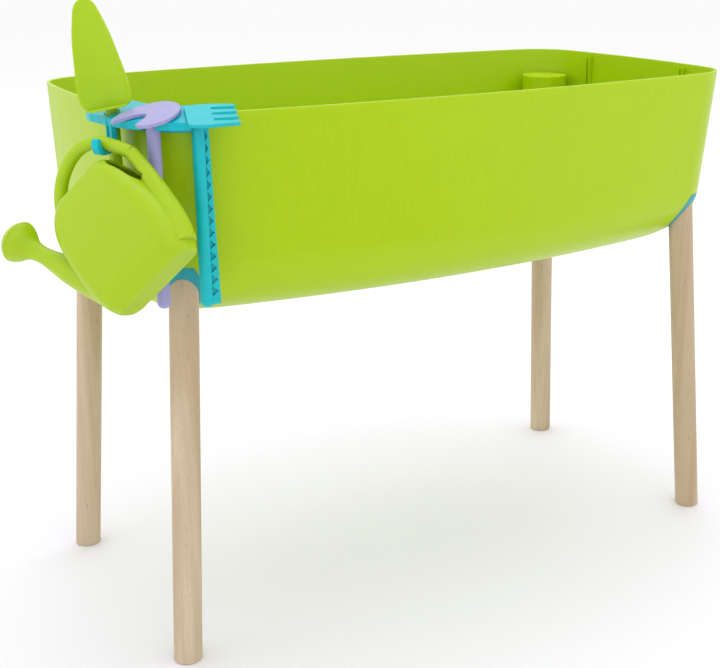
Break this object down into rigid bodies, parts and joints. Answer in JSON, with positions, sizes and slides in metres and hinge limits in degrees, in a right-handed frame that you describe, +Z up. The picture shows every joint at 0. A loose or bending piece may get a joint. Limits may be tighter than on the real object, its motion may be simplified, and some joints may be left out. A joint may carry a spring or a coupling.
{
  "type": "raised planter",
  "caption": "Raised planting tub on splayed wooden legs, with a lift-off corner rack that holds hand tools and a hung watering can.",
  "frame": {"origin": "on the ground under the middle of the whole object's plan, hung tools and can included", "axes": "+X along the planter's long side, away from the tool rack; +Y towards its back; +Z up"},
  "size_m": [0.8776, 0.4595, 0.6794],
  "materials": {
    "tub": "satin, faint upright brush lines",
    "leg_wood": "sanded beech, clear",
    "leg_socket": "satin",
    "leg_screw": "zinc plated",
    "tool_rack": "satin gloss",
    "rake": "satin gloss",
    "double_hoe": "satin gloss",
    "trowel": "satin gloss",
    "watering_can": "satin gloss",
    "can_rose": "satin gloss",
    "drain_plug": "satin",
    "drain_seal": "matt"
  },
  "bodies": {
    "planter": {"tub": "tub", "leg_front_left": "leg_wood", "leg_front_right": "leg_wood", "leg_back_left": "leg_wood", "leg_back_right": "leg_wood", "leg_socket_front_left": "leg_socket", "leg_socket_front_right": "leg_socket", "leg_socket_back_left": "leg_socket", "leg_socket_back_right": "leg_socket", "leg_screw_front_left": "leg_screw", "leg_screw_front_right": "leg_screw", "leg_screw_back_left": "leg_screw", "leg_screw_back_right": "leg_screw"},
    "tool_rack": {"tool_rack": "tool_rack"},
    "rake": {"rake": "rake"},
    "double_hoe": {"double_hoe": "double_hoe"},
    "trowel": {"trowel": "trowel"},
    "watering_can": {"watering_can": "watering_can", "can_rose": "can_rose"},
    "drain_plug": {"drain_plug": "drain_plug", "drain_seal": "drain_seal"}
  },
  "joints": [
    {"name": "rack_lift", "type": "slide", "parent": "planter", "child": "tool_rack", "axis": [0, 0, 1], "range_m": [0, 0.05]},
    {"name": "rake_lift", "type": "slide", "parent": "tool_rack", "child": "rake", "axis": [0, 0, 1], "range_m": [0, 0.18]},
    {"name": "double_hoe_lift", "type": "slide", "parent": "tool_rack", "child": "double_hoe", "axis": [0, 0, 1], "range_m": [0, 0.18]},
    {"name": "trowel_lift", "type": "slide", "parent": "tool_rack", "child": "trowel", "axis": [0, 0, 1], "range_m": [0, 0.18]},
    {"name": "can_swing", "type": "hinge", "parent": "tool_rack", "child": "watering_can", "pos_m": [-0.3498, -0.129, 0.5534], "axis": [-0.5736, 0.8192, 0], "range_deg": [0, 15]},
    {"name": "drain_plug_pull", "type": "slide", "parent": "planter", "child": "drain_plug", "axis": [0, 0, -1], "range_m": [0, 0.03]}
  ]
}
